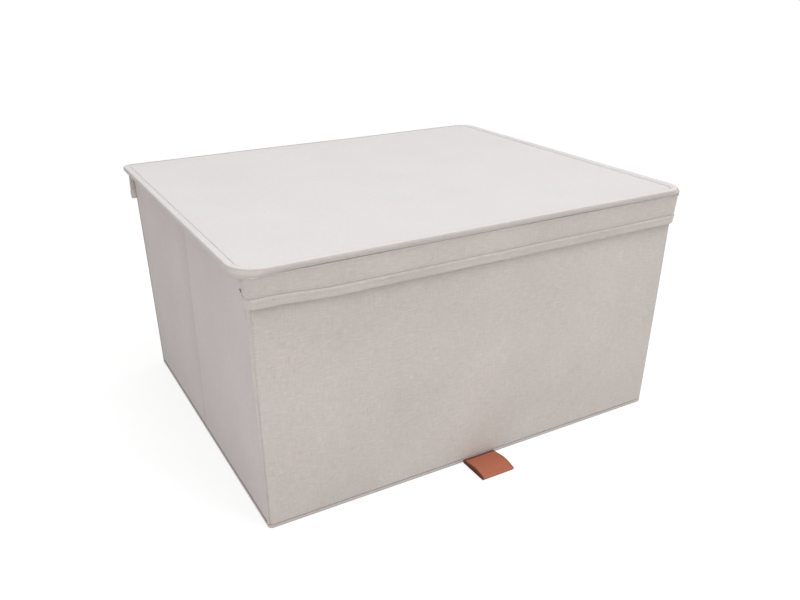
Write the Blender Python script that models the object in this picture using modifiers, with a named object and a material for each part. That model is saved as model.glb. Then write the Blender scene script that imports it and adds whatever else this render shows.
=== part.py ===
"""Fabric storage box with a lift-off lid, whose end walls crease in the middle so that it folds flat.

Metres, +Z up. The origin is the middle of the underside of the base, the front wall faces -Y and
the length runs along X. Every wall is a stiff board between a fabric cover and a lining. The walls
stand on the base and the lid rests on their rim. A flared flap hangs from it at the front and at
the back, and the two end walls are free up to the lid's edge.
"""

import math

import bmesh
import bpy
from mathutils import Matrix, Vector

MM = 0.001

# Overall sizes, measured over the outer faces of the walls
body_length = 420.0 * MM
body_depth = 350.0 * MM
rim_height = 226.8 * MM

# Sheet materials and the gap that two touching pieces keep
cover_thickness = 0.8 * MM
lining_thickness = 0.6 * MM
wall_board_thickness = 2.0 * MM
seat_gap = 0.3 * MM

# Base
base_board_thickness = 1.4 * MM
base_corner_radius = 4.0 * MM
base_edge_radius = 1.0 * MM

# Wall panels
long_wall_corner_radius = 3.6 * MM
long_wall_edge_radius = 2.0 * MM
end_wall_corner_radius = 1.3 * MM
end_wall_edge_radius = 0.8 * MM
end_wall_inset = 0.6 * MM
corner_gap = 0.4 * MM
crease_gap = 0.6 * MM
least_fillet_share = 0.25
rim_hem_depth = 20.0 * MM
rim_hem_side_inset = 4.6 * MM

# Fold lines, as distances from the panel faces that they lie beside
corner_pivot_inset = 0.3 * MM
corner_pivot_clearance = 0.5 * MM
crease_pivot_offset = 0.5 * MM

# Lid, with overhangs measured out from the walls' outer faces
lid_board_thickness = 2.5 * MM
lid_overhang = 9.6 * MM

# Welt round the lid
welt_cord_radius = 1.7 * MM
welt_fabric_thickness = 0.8 * MM
welt_drop = 1.6 * MM
welt_slot_half_angle = math.radians(24.0)

# Flaps along the lid's front and back
flap_flange_overhang = 1.0 * MM
flap_top_overhang = 8.2 * MM
flap_bottom_overhang = 4.6 * MM
flap_depth = 29.5 * MM
flap_end_overhang = 2.0 * MM
flap_board_thickness = 1.0 * MM
flap_board_end_gap = 14.0 * MM
flap_shoulder_radius = 2.5 * MM
hem_depth = 10.0 * MM
hem_step = 0.5 * MM
hem_step_length = 1.0 * MM
plan_corner_radius = 4.0 * MM

# Pull tab
tab_width = 34.0 * MM
tab_length = 34.0 * MM
tab_thickness = 1.3 * MM
tab_loop_gap = 3.6 * MM
tab_crown_share = 0.62
tab_fold_radius = 0.35 * MM

# Facets
corner_segments = 6
edge_segments = 2
shoulder_steps = 3
hem_fold_steps = 5
welt_sides = 14
tab_steps = 10
smooth_angle = math.radians(35.0)
merge_distance = 0.01 * MM

# Sizes that follow from those above
wall_thickness = 2 * cover_thickness + 2 * seat_gap + wall_board_thickness
base_height = cover_thickness + base_board_thickness + 2 * seat_gap + lining_thickness
wall_bottom = base_height + seat_gap
wall_height = rim_height - wall_bottom
half_length = body_length / 2
half_depth = body_depth / 2
inner_half_length = half_length - end_wall_inset - wall_thickness
inner_half_depth = half_depth - wall_thickness
end_panel_width = inner_half_depth - corner_gap - crease_gap / 2
lid_lining_bottom = rim_height + seat_gap
lid_board_bottom = lid_lining_bottom + lining_thickness + seat_gap
lid_cover_bottom = lid_board_bottom + lid_board_thickness + seat_gap
lid_top = lid_cover_bottom + cover_thickness
welt_radius = welt_cord_radius + seat_gap + welt_fabric_thickness
welt_overhang = lid_overhang - welt_radius
welt_height = lid_top - welt_drop
lid_sheet_overhang = welt_overhang - welt_radius - seat_gap
flap_top = lid_lining_bottom - seat_gap
flap_bottom = flap_top - flap_depth
flap_layer_depth = hem_step + 2 * cover_thickness + 2 * seat_gap + flap_board_thickness
tab_fold_outer_radius = tab_fold_radius + tab_thickness
tab_root_height = 2 * tab_fold_outer_radius

# The lid's corners, anticlockwise from the back right one
CORNER_SIGNS = ((1, 1), (-1, 1), (-1, -1), (1, -1))

# Colour and roughness of each material
FINISHES = {
    "linen": ((0.545, 0.500, 0.465), 0.95),
    "lining": ((0.620, 0.580, 0.545), 0.95),
    "board": ((0.300, 0.270, 0.235), 0.90),
    "leather": ((0.470, 0.150, 0.075), 0.60),
    "cord": ((0.800, 0.780, 0.740), 0.90),
}


def clear_scene():
    for old in list(bpy.data.objects):
        bpy.data.objects.remove(old, do_unlink=True)


def make_collection(name):
    collection = bpy.data.collections.new(name)
    bpy.context.scene.collection.children.link(collection)
    return collection


def make_material(name, finish):
    colour, roughness = FINISHES[finish]
    material = bpy.data.materials.new(name)
    material.use_nodes = True
    shader = material.node_tree.nodes["Principled BSDF"]
    shader.inputs["Base Color"].default_value = (*colour, 1.0)
    shader.inputs["Roughness"].default_value = roughness
    shader.inputs["Metallic"].default_value = 0.0
    material.diffuse_color = (*colour, 1.0)
    return material


def add_object(name, bm, finish, parent=None, location=(0, 0, 0), turn=0.0):
    """Make a named sub-part of its mesh, with its own material."""
    mesh = bpy.data.meshes.new(name)
    bm.to_mesh(mesh)
    bm.free()
    piece = bpy.data.objects.new(name, mesh)
    parts.objects.link(piece)
    mesh.materials.append(make_material(f"{name}_{finish}", finish))
    piece.parent = parent
    piece.location = location
    piece.rotation_euler = (0.0, 0.0, turn)
    mesh.shade_smooth()
    mesh.set_sharp_from_angle(angle=smooth_angle)
    return piece


def thicken(piece, thickness):
    """Give an open outer skin its thickness, inwards from the skin."""
    solidify = piece.modifiers.new("thickness", "SOLIDIFY")
    solidify.thickness = thickness
    solidify.offset = -1.0
    solidify.use_even_offset = True


def make_pivot(name, location, parent=None):
    """An empty on a fold line or hinge line, given in the object's own frame."""
    pivot = bpy.data.objects.new(name, None)
    parts.objects.link(pivot)
    offset = Vector(parent["place"]) if parent else Vector((0.0, 0.0, 0.0))
    pivot["place"] = tuple(location)
    pivot.location = Vector(location) - offset
    pivot.parent = parent
    return pivot


def block(size, centre):
    """A box: a unit cube, scaled and moved to its place."""
    bm = bmesh.new()
    bmesh.ops.create_cube(bm, size=1.0)
    bmesh.ops.scale(bm, vec=size, verts=bm.verts)
    bmesh.ops.translate(bm, vec=centre, verts=bm.verts)
    return bm


def edges_along(bm, axis):
    """The edges parallel to one axis, 0 for X, 1 for Y or 2 for Z."""
    found = []
    for edge in bm.edges:
        span = edge.verts[0].co - edge.verts[1].co
        span[axis] = 0.0
        if span.length < merge_distance:
            found.append(edge)
    return found


def bevel_edges(bm, edges, radius, segments=edge_segments):
    bmesh.ops.bevel(
        bm, geom=edges, offset=radius, offset_type="OFFSET", segments=segments, profile=0.5, affect="EDGES"
    )


def extruded_rim(bm, edges, step):
    """Extrude boundary edges by a step and give the new edges."""
    made = bmesh.ops.extrude_edge_only(bm, edges=edges)
    new_verts = [item for item in made["geom"] if isinstance(item, bmesh.types.BMVert)]
    bmesh.ops.translate(bm, vec=step, verts=new_verts)
    return [item for item in made["geom"] if isinstance(item, bmesh.types.BMEdge)]


def is_end_fold(edge):
    """True for a sharp fold round the face's top or bottom, but not for the hem's fold inside."""
    level = abs(edge.verts[0].co.z - edge.verts[1].co.z) < merge_distance
    in_front = min(vert.co.y for vert in edge.verts) < wall_thickness - merge_distance
    return level and in_front and not edge.is_boundary and edge.calc_face_angle() > smooth_angle


def panel_cover(width, height, corner_radius, edge_radius):
    """A wall cover's outer skin: face at y=0, edges turned in along +Y, hem turned down at the rim."""
    bm = bmesh.new()
    hem_half_width = width / 2 - rim_hem_side_inset
    columns = (-width / 2, -hem_half_width, hem_half_width, width / 2)
    bottom = [bm.verts.new((x, 0.0, 0.0)) for x in columns]
    base_edges = [bm.edges.new(pair) for pair in zip(bottom[:-1], bottom[1:])]
    extruded_rim(bm, base_edges, (0.0, 0.0, height))
    border = [edge for edge in bm.edges if edge.is_boundary]
    turned = extruded_rim(bm, border, (0.0, wall_thickness, 0.0))
    hem_reach = hem_half_width + merge_distance
    hem_start = []
    for edge in turned:
        on_rim = all(abs(vert.co.z - height) < merge_distance for vert in edge.verts)
        in_hem = all(abs(vert.co.x) < hem_reach for vert in edge.verts)
        if on_rim and in_hem and edge.is_boundary:
            hem_start.append(edge)
    extruded_rim(bm, hem_start, (0.0, 0.0, -rim_hem_depth))
    bmesh.ops.recalc_face_normals(bm, faces=bm.faces)
    broad = max(bm.faces, key=lambda face: face.calc_area())
    if broad.normal.y > 0:
        bmesh.ops.reverse_faces(bm, faces=bm.faces)
    uprights = [edge for edge in edges_along(bm, 2) if edge in border]
    bevel_edges(bm, uprights, corner_radius, corner_segments)
    bevel_edges(bm, [edge for edge in bm.edges if is_end_fold(edge)], edge_radius)
    return bm


def wall_panel(prefix, width, parent, location, turn, corner_radius, edge_radius):
    """One wall panel: cover, board and lining, with the outer face at local y=0."""
    bm = panel_cover(width, wall_height, corner_radius, edge_radius)
    cover = add_object(f"{prefix}_cover", bm, "linen", parent, location, turn)
    thicken(cover, cover_thickness)

    inset = cover_thickness + seat_gap
    end_inset = inset + corner_radius - edge_radius
    board_size = (width - 2 * end_inset, wall_board_thickness, wall_height - 2 * inset)
    board_centre = (0.0, inset + wall_board_thickness / 2, wall_height / 2)
    bm = block(board_size, board_centre)
    inner_radius = max(edge_radius - inset, edge_radius * least_fillet_share)
    bevel_edges(bm, bm.edges[:], inner_radius)
    add_object(f"{prefix}_board", bm, "board", parent, location, turn)

    lining_bottom = inset
    lining_top = wall_height - rim_hem_depth - seat_gap
    lining_size = (width - 2 * inset, lining_thickness, lining_top - lining_bottom)
    lining_y = inset + wall_board_thickness + seat_gap + lining_thickness / 2
    bm = block(lining_size, (0.0, lining_y, (lining_top + lining_bottom) / 2))
    bevel_edges(bm, edges_along(bm, 1), inner_radius)
    add_object(f"{prefix}_lining", bm, "lining", parent, location, turn)


def make_base():
    """Base panel: a shallow fabric tray round a board, with a lining on top."""
    bm = block((body_length, body_depth, base_height), (0.0, 0.0, base_height / 2))
    top = max(bm.faces, key=lambda face: face.calc_center_median().z)
    bmesh.ops.delete(bm, geom=[top], context="FACES_ONLY")
    bevel_edges(bm, edges_along(bm, 2), base_corner_radius, corner_segments)
    lower = [edge for edge in bm.edges if all(abs(v.co.z) < merge_distance for v in edge.verts)]
    bevel_edges(bm, lower, base_edge_radius)
    cover = add_object("base_cover", bm, "linen")
    thicken(cover, cover_thickness)

    inset = cover_thickness + seat_gap
    length, depth = body_length - 2 * inset, body_depth - 2 * inset
    board_z = inset + base_board_thickness / 2
    bm = block((length, depth, base_board_thickness), (0.0, 0.0, board_z))
    bevel_edges(bm, edges_along(bm, 2), base_corner_radius - inset, corner_segments)
    add_object("base_board", bm, "board")

    lining_z = base_height - lining_thickness / 2
    bm = block((length, depth, lining_thickness), (0.0, 0.0, lining_z))
    bevel_edges(bm, edges_along(bm, 2), base_corner_radius - inset, corner_segments)
    add_object("base_lining", bm, "lining")


def fold_linkage():
    """Empties on the fold lines: two corner folds and a crease for each end wall."""
    corner_x = inner_half_length - corner_pivot_inset
    corner_y = inner_half_depth - corner_pivot_clearance
    crease_x = half_length - end_wall_inset + crease_pivot_offset
    pivots = {}
    for side, sign in (("left", -1), ("right", 1)):
        rear = make_pivot(f"{side}_rear_fold", (sign * corner_x, corner_y, wall_bottom))
        crease = make_pivot(f"{side}_crease_fold", (sign * crease_x, 0.0, wall_bottom), rear)
        pivots[f"{side}_rear"] = rear
        pivots[f"{side}_front"] = crease
    front_place = (-corner_x, -corner_y, wall_bottom)
    pivots["front"] = make_pivot("front_corner_fold", front_place, pivots["left_front"])
    return pivots


def make_walls(pivots):
    """Front and back walls span the full length; each end wall is two panels between them."""
    back_place = (0.0, half_depth, wall_bottom)
    radii = (long_wall_corner_radius, long_wall_edge_radius)
    wall_panel("back_wall", body_length, None, back_place, math.pi, *radii)

    pivot = pivots["front"]
    front_place = Vector((0.0, -half_depth, wall_bottom)) - Vector(pivot["place"])
    wall_panel("front_wall", body_length, pivot, front_place, 0.0, *radii)

    radii = (end_wall_corner_radius, end_wall_edge_radius)
    panel_y = crease_gap / 2 + end_panel_width / 2
    for side, sign, turn in (("left", -1, -math.pi / 2), ("right", 1, math.pi / 2)):
        for end, end_sign in (("rear", 1), ("front", -1)):
            pivot = pivots[f"{side}_{end}"]
            outer_x = sign * (half_length - end_wall_inset)
            place = Vector((outer_x, end_sign * panel_y, wall_bottom)) - Vector(pivot["place"])
            prefix = f"{side}_{end}"
            wall_panel(prefix, end_panel_width, pivot, place, turn, *radii)


def corner_points(overhang, corner):
    """Points round one of the lid's corners, a given distance outside the walls' outer faces."""
    radius = plan_corner_radius + overhang
    sign_x, sign_y = CORNER_SIGNS[corner]
    middle_x = sign_x * (half_length - plan_corner_radius)
    middle_y = sign_y * (half_depth - plan_corner_radius)
    points = []
    for step in range(corner_segments + 1):
        angle = math.pi / 2 * (corner + step / corner_segments)
        points.append((middle_x + radius * math.cos(angle), middle_y + radius * math.sin(angle)))
    return points


def lid_outline(overhang):
    """The lid's plan, a rounded rectangle."""
    return [point for corner in range(len(CORNER_SIGNS)) for point in corner_points(overhang, corner)]


def flap_outline(overhang):
    """The front flap's line in plan, along the front and a little past both ends of the wall."""
    reach_x = half_length + flap_end_overhang
    front_y = -half_depth - overhang
    return [(-reach_x, front_y), (reach_x, front_y)]


def line_of_edges(bm, points, height, closed):
    """Vertices at one height, joined in turn by edges."""
    verts = [bm.verts.new((*point, height)) for point in points]
    edges = [bm.edges.new(pair) for pair in zip(verts[:-1], verts[1:])]
    if closed:
        edges.append(bm.edges.new((verts[-1], verts[0])))
    return verts, edges


def sweep(outline, section, closed_outline=True, closed_section=False):
    """Sweep a section of (overhang, height) pairs along a line in plan."""
    bm = bmesh.new()
    place = bm.verts.layers.int.new("place_on_line")
    overhang, height = section[0]
    verts, line = line_of_edges(bm, outline(overhang), height, closed_outline)
    for index, vert in enumerate(verts):
        vert[place] = index
    for overhang, height in section[1:] + (section[:1] if closed_section else []):
        made = bmesh.ops.extrude_edge_only(bm, edges=line)["geom"]
        points = outline(overhang)
        fresh = {item for item in made if isinstance(item, bmesh.types.BMVert)}
        for vert in fresh:
            vert.co = (*points[vert[place]], height)
        edges = [item for item in made if isinstance(item, bmesh.types.BMEdge)]
        line = [edge for edge in edges if fresh.issuperset(edge.verts)]
    if closed_section:
        bmesh.ops.remove_doubles(bm, verts=bm.verts, dist=merge_distance)
    bmesh.ops.recalc_face_normals(bm, faces=bm.faces)
    outermost = min(bm.faces, key=lambda face: face.calc_center_median().y)
    if outermost.normal.y > 0:
        bmesh.ops.reverse_faces(bm, faces=bm.faces)
    return bm


def arc(centre, radius, start, end, steps):
    """Points of an arc in the (overhang, height) plane."""
    points = []
    for step in range(steps + 1):
        angle = start + (end - start) * step / steps
        points.append((centre[0] + radius * math.cos(angle), centre[1] + radius * math.sin(angle)))
    return points


def flap_frame():
    """A flap's outer line: its foot, its unit direction upwards and its unit normal outwards."""
    foot = Vector((flap_bottom_overhang, flap_bottom))
    head = Vector((flap_top_overhang, flap_top - flap_shoulder_radius))
    up = (head - foot).normalized()
    return foot, up, Vector((up.y, -up.x)), (head - foot).length


def flap_point(inward, along):
    """A point of a flap's section, a depth behind its outer line and a way up from its foot."""
    foot, up, out, _ = flap_frame()
    point = foot + up * along - out * inward
    return (point.x, point.y)


def make_flap(name, turn):
    """A flared flap: its cover has a flange at the top and a hem turned up inside at the bottom."""
    _, up, _, length = flap_frame()
    lean = math.atan2(up.x, up.y)
    shoulder_depth = flap_shoulder_radius + hem_step
    shoulder_centre = flap_point(shoulder_depth, length - shoulder_depth * math.tan(lean))
    section = [(flap_flange_overhang, shoulder_centre[1] + flap_shoulder_radius)]
    section += arc(shoulder_centre, flap_shoulder_radius, math.pi / 2, -lean, shoulder_steps)
    section.append(flap_point(hem_step, hem_depth + hem_step_length))
    section.append(flap_point(0.0, hem_depth - hem_step_length))
    fold_radius = flap_layer_depth / 2
    fold_centre = flap_point(fold_radius, fold_radius)
    section += arc(fold_centre, fold_radius, -lean, -lean - math.pi, hem_fold_steps)
    section.append(flap_point(flap_layer_depth, hem_depth))
    bm = sweep(flap_outline, section, closed_outline=False)
    cover = add_object(f"{name}_cover", bm, "linen", turn=turn)
    thicken(cover, cover_thickness)

    board_face = hem_step + cover_thickness + seat_gap
    lining_face = board_face + flap_board_thickness + seat_gap
    section = [flap_point(lining_face, length), flap_point(lining_face, hem_depth + seat_gap)]
    bm = sweep(flap_outline, section, closed_outline=False)
    lining = add_object(f"{name}_lining", bm, "lining", turn=turn)
    thicken(lining, lining_thickness)

    size = (2 * (half_length - flap_board_end_gap), flap_board_thickness, length - fold_radius)
    middle = flap_point(board_face + flap_board_thickness / 2, (length + fold_radius) / 2)
    place = Vector((0.0, -(half_depth + middle[0]), middle[1]))
    place.rotate(Matrix.Rotation(turn, 3, "Z"))
    board = add_object(f"{name}_board", block(size, (0.0, 0.0, 0.0)), "board", None, place, turn)
    board.rotation_euler = (lean, 0.0, turn)


def lid_sheet(name, bottom, thickness, finish):
    """A flat sheet of the lid, with the lid's rounded corners."""
    bm = bmesh.new()
    _, edges = line_of_edges(bm, lid_outline(lid_sheet_overhang), bottom, closed=True)
    bmesh.ops.contextual_create(bm, geom=edges)
    made = bmesh.ops.extrude_face_region(bm, geom=bm.faces[:])
    top = [item for item in made["geom"] if isinstance(item, bmesh.types.BMVert)]
    bmesh.ops.translate(bm, vec=(0.0, 0.0, thickness), verts=top)
    bmesh.ops.recalc_face_normals(bm, faces=bm.faces)
    add_object(name, bm, finish)


def make_lid():
    """Lid panel, with a corded welt round its edge."""
    lid_sheet("lid_lining", lid_lining_bottom, lining_thickness, "lining")
    lid_sheet("lid_board", lid_board_bottom, lid_board_thickness, "board")
    lid_sheet("lid_cover", lid_cover_bottom, cover_thickness, "linen")

    centre = (welt_overhang, welt_height)
    step = 2 * math.pi / welt_sides
    cord_section = arc(centre, welt_cord_radius, 0.0, 2 * math.pi - step, welt_sides - 1)
    add_object("lid_welt_cord", sweep(lid_outline, cord_section, closed_section=True), "cord")

    start, end = math.pi - welt_slot_half_angle, -math.pi + welt_slot_half_angle
    welt_section = arc(centre, welt_radius, start, end, welt_sides)
    welt = add_object("lid_welt", sweep(lid_outline, welt_section), "linen")
    thicken(welt, welt_fabric_thickness)


def tab_profile():
    """The tab's outer line in the YZ plane: along the floor, round the fold and back over the crown."""
    floor_end = tab_length - tab_fold_outer_radius
    fold_centre = (floor_end, tab_fold_outer_radius)
    crown = tab_loop_gap - 2 * tab_fold_radius
    crown_power = math.log(1 / 2) / math.log(tab_crown_share)
    points = [(0.0, 0.0)]
    points += arc(fold_centre, tab_fold_outer_radius, -math.pi / 2, math.pi / 2, tab_steps // 2)
    for step in range(1, tab_steps + 1):
        share = 1.0 - step / tab_steps
        swell = math.sin(math.pi * share**crown_power) ** 2
        points.append((floor_end * share, tab_root_height + crown * swell))
    return points


def make_tab():
    """Pull tab: one leather strip folded into a flat loop, whose two ends meet at the base's edge."""
    pivot = make_pivot("tab_fold", (0.0, -half_depth - seat_gap, tab_root_height))
    bm = bmesh.new()
    verts = []
    for reach, height in tab_profile():
        verts.append(bm.verts.new((-tab_width / 2, -reach, height - tab_root_height)))
    edges = [bm.edges.new(pair) for pair in zip(verts[:-1], verts[1:])]
    extruded_rim(bm, edges, (tab_width, 0.0, 0.0))
    bmesh.ops.recalc_face_normals(bm, faces=bm.faces)
    lowest = min(bm.faces, key=lambda face: face.calc_center_median().z)
    if lowest.normal.z > 0:
        bmesh.ops.reverse_faces(bm, faces=bm.faces)
    tab = add_object("pull_tab", bm, "leather", pivot)
    thicken(tab, tab_thickness)


clear_scene()
parts = make_collection("fabric_storage_box")
make_base()
make_walls(fold_linkage())
make_lid()
make_flap("front_flap", 0.0)
make_flap("back_flap", math.pi)
make_tab()
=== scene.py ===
"""Looks of the fabric storage box: cloth, linings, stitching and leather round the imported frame."""

import math
from functools import partial

import bpy
import numpy as np
from mathutils import Matrix, Quaternion, Vector


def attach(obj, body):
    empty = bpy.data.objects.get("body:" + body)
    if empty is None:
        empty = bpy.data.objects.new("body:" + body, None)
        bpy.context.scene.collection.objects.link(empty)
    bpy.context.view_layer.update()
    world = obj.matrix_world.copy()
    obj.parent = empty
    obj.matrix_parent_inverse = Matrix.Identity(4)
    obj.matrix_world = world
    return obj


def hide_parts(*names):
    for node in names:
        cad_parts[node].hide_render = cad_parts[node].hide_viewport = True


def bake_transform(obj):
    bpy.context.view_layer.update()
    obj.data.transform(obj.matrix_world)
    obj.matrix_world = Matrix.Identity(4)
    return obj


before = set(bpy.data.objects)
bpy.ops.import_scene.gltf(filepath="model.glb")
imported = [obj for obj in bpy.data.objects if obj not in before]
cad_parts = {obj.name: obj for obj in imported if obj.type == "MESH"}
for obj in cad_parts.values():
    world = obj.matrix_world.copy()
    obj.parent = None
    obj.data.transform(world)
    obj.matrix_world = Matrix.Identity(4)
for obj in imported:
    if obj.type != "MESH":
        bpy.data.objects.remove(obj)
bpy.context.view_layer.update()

# Sizes of the box, as its solids have them; every size here is in metres
HALF_LENGTH = 0.210
HALF_DEPTH = 0.175
WALL = 0.0042
WALL_BOTTOM = 0.0037
RIM = 0.2268
WALL_HEIGHT = RIM - WALL_BOTTOM
END_INSET = 0.0006
END_SPAN = 0.1704
CORNER = 0.004
HEM = 0.020

# Thicknesses of the cloths and boards
COVER = 0.0008
LINING = 0.0006
THIN_COVER = 0.0005
FLAP_CLOTH = 0.0006
FLAP_BOARD = 0.0010
END_BOARD = 0.0020
LID_BOARD = 0.0026


# Materials

CLOTH_MAP = "cloth"
LINEN_PITCH = 0.00062
LINING_PITCH = 0.00050

# Noise in a cloth, stretched by so much per metre along its two directions. The streaks along weft
# and warp and the mottle: stretch, detail, roughness and share of the cloth's streakiness.
WANDER = (60.0, 900.0)
TINTS = (30.0, 30.0)
STREAKS = (
    ((110.0, 760.0), 3.0, 0.6, 1.0),
    ((760.0, 90.0), 3.0, 0.6, 0.6),
    ((14.0, 14.0), 2.0, 0.5, 0.65),
)
# The light slubs, dark slubs and neps: the same, with the range of noise in which they show
FLECKS = (
    ((130.0, 1150.0), 2.0, 0.55, 0.9, (0.56, 0.74)),
    ((1050.0, 90.0), 2.0, 0.55, -0.8, (0.58, 0.76)),
    ((420.0, 420.0), 1.0, 0.5, 1.1, (0.74, 0.80)),
)
WARMER, COOLER = (1.012, 0.996, 0.985), (0.988, 1.004, 1.015)
THREAD_ROUNDING = 0.35

# Painted shade on an end wall's cloth: behind its crease, deeper and wider upwards, and towards the
# back corner
CREASE_SHADE = 0.115
CREASE_SHADE_REACH = (-0.012, -0.034)
CREASE_SHADE_EDGE = (0.0, 0.0010)
CREASE_SHADE_TOP = (0.207, 0.216)
BACK_SHADE = 0.050
BACK_SHADE_ACROSS = (-0.17, -0.05)
BACK_SHADE_UP = (0.06, 0.20)


def node(tree, kind, inputs=None, **settings):
    made = tree.nodes.new("ShaderNode" + kind)
    for key, value in settings.items():
        setattr(made, key, value)
    for key, value in (inputs or {}).items():
        if isinstance(value, bpy.types.NodeSocket):
            tree.links.new(value, made.inputs[key])
        else:
            made.inputs[key].default_value = value
    return made


def maths(tree, operation, *values):
    return node(tree, "Math", dict(enumerate(values)), operation=operation).outputs[0]


def times(tree, a, b):
    return maths(tree, "MULTIPLY", a, b)


def times_plus(tree, a, b, c):
    return maths(tree, "MULTIPLY_ADD", a, b, c)


def ramp(tree, value, low, high, start=0.0, end=1.0):
    """A clamped, even change from one value to another."""
    inputs = {"Value": value, 1: low, 2: high, 3: start, 4: end}
    return node(tree, "MapRange", inputs).outputs[0]


def noise_at(tree, place, stretch, detail=2.0, roughness=0.5, distortion=0.0):
    """Noise on cloth coordinates that are stretched by (per metre, per metre)."""
    inputs = {0: place, 1: (*stretch, 1.0)}
    scaled = node(tree, "VectorMath", inputs, operation="MULTIPLY").outputs[0]
    inputs = {"Vector": scaled, "Scale": 1.0, "Detail": detail, "Roughness": roughness}
    inputs["Distortion"] = distortion
    return node(tree, "TexNoise", inputs).outputs["Fac"]


def sway(tree, fac, amount):
    """A noise value turned into a change round zero, of a given half range."""
    return times(tree, maths(tree, "SUBTRACT", fac, 0.5), 2.0 * amount)


def new_material(name):
    material = bpy.data.materials.new(name)
    material.use_nodes = True
    return material, material.node_tree


def finish_material(material, colour, tone, relief, rough, specular, tint=None):
    """Gives the shader a colour by a tone, a bump of (height, strength, distance) and a gloss."""
    tree = material.node_tree
    shader = tree.nodes["Principled BSDF"]
    inputs = {0: colour if tint is None else tint, "Scale": tone}
    toned = node(tree, "VectorMath", inputs, operation="SCALE")
    bump = node(tree, "Bump", dict(zip(("Height", "Strength", "Distance"), relief)))
    tree.links.new(toned.outputs[0], shader.inputs["Base Color"])
    tree.links.new(bump.outputs[0], shader.inputs["Normal"])
    tree.links.new(rough, shader.inputs["Roughness"])
    shader.inputs["Specular IOR Level"].default_value = specular
    material.diffuse_color = (*colour, 1.0)
    return material


def painted_crease_shade(tree, place, tone):
    """Painted shade in an end wall's cloth colour: darker just behind its crease and towards the back
    corner.
    """
    parts = node(tree, "SeparateXYZ", {0: place})
    across, up = parts.outputs[0], parts.outputs[1]
    reach = ramp(tree, up, 0.0, WALL_HEIGHT, *CREASE_SHADE_REACH)
    behind = maths(tree, "SUBTRACT", 1.0, maths(tree, "DIVIDE", across, reach))
    behind = maths(tree, "MAXIMUM", behind, 0.0)
    behind = times(tree, behind, ramp(tree, across, *CREASE_SHADE_EDGE, 1.0, 0.0))
    rising = ramp(tree, up, 0.0, WALL_HEIGHT, 0.4, 1.0)
    fade = times(tree, rising, ramp(tree, up, *CREASE_SHADE_TOP, 1.0, 0.0))
    shade = times(tree, times(tree, behind, fade), CREASE_SHADE)
    back = ramp(tree, across, *BACK_SHADE_ACROSS, 1.0, 0.0)
    back = times(tree, back, ramp(tree, up, *BACK_SHADE_UP, 1.0, 0.3))
    shade = times_plus(tree, back, BACK_SHADE, shade)
    return times(tree, tone, maths(tree, "SUBTRACT", 1.0, shade))


def cloth_material(
    name, colour, streak, relief=0.45, shift=(0.0, 0.0), pitch=LINEN_PITCH, crease=False
):
    """Plain-woven linen look: threads that cross, slubs along both directions and fine neps."""
    material, tree = new_material(name)
    unshifted = node(tree, "UVMap", uv_map=CLOTH_MAP).outputs[0]
    inputs = {0: unshifted, 1: (*shift, 0.0)}
    place = node(tree, "VectorMath", inputs, operation="ADD").outputs[0]

    parts = node(tree, "SeparateXYZ", {0: place})
    waves = []
    for axis, stretch in enumerate((WANDER, WANDER[::-1])):
        wander = sway(tree, noise_at(tree, place, stretch), 0.16 * pitch)
        strayed = maths(tree, "ADD", parts.outputs[axis], wander)
        waves.append(maths(tree, "SINE", times(tree, strayed, math.pi / pitch)))
    warp_up = maths(tree, "GREATER_THAN", times(tree, *waves), 0.0)
    across, along = (maths(tree, "ABSOLUTE", wave) for wave in waves)
    warp = times(tree, across, maths(tree, "POWER", along, THREAD_ROUNDING))
    weft = times(tree, along, maths(tree, "POWER", across, THREAD_ROUNDING))
    blend = node(tree, "Mix", {"Factor": warp_up, "A": weft, "B": warp})
    weave = blend.outputs["Result"]

    tone = times_plus(tree, weave, 0.16, 0.90)
    for *noise, share in STREAKS:
        layer = sway(tree, noise_at(tree, place, *noise), share * streak)
        tone = times_plus(tree, layer, 1.0, tone)
    flecks = []
    for *noise, share, shown in FLECKS:
        flecks.append(ramp(tree, noise_at(tree, place, *noise), *shown))
        tone = times_plus(tree, flecks[-1], share * streak, tone)
    # Painted shade: the end walls' cloth is darkened behind the crease and towards the back corner
    if crease:
        tone = painted_crease_shade(tree, unshifted, tone)
    warmer, cooler = ((*np.multiply(colour, by).tolist(), 1.0) for by in (WARMER, COOLER))
    inputs = {"Factor": noise_at(tree, place, TINTS, 1.0), "A": warmer, "B": cooler}
    tint = node(tree, "Mix", inputs, data_type="RGBA").outputs["Result"]

    bump = (times_plus(tree, flecks[0], 0.6, weave), relief, 0.00022)
    rough = times_plus(tree, weave, -0.08, 0.97)
    tree.nodes["Principled BSDF"].inputs["Sheen Weight"].default_value = 0.25
    return finish_material(material, colour, tone, bump, rough, 0.25, tint)


def leather_material(name, colour, roughness):
    """Satin imitation leather with a fine pebbled grain, or a dark copy for its burnished cut edge
    that also serves as painted shade.
    """
    material, tree = new_material(name)
    place = node(tree, "UVMap", uv_map=CLOTH_MAP).outputs[0]
    inputs = {"Vector": place, "Scale": 1500.0, "Randomness": 1.0}
    cells = node(tree, "TexVoronoi", inputs, feature="SMOOTH_F1").outputs[0]
    fine = noise_at(tree, place, (700.0, 700.0), 3.0)
    grain = times_plus(tree, fine, 0.5, cells)
    cloudy = sway(tree, noise_at(tree, place, (70.0, 70.0), 3.0, 0.6), 0.07)
    tone = maths(tree, "ADD", times_plus(tree, grain, -0.10, 1.06), cloudy)
    rough = times_plus(tree, grain, 0.12, roughness)
    return finish_material(material, colour, tone, (grain, 0.25, 0.0001), rough, 0.35)


def fibre_material(name, colour, density, strength):
    """Board, filler cord and thread: a matt colour with fibres."""
    material, tree = new_material(name)
    place = node(tree, "TexCoord").outputs["Object"]
    fibres = noise_at(tree, place, (density, density), 4.0, 0.65, 0.4)
    tone = maths(tree, "ADD", 1.0, sway(tree, fibres, strength))
    rough = times_plus(tree, fibres, 0.1, 0.85)
    return finish_material(material, colour, tone, (fibres, 0.2, 0.0002), rough, 0.2)


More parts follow.
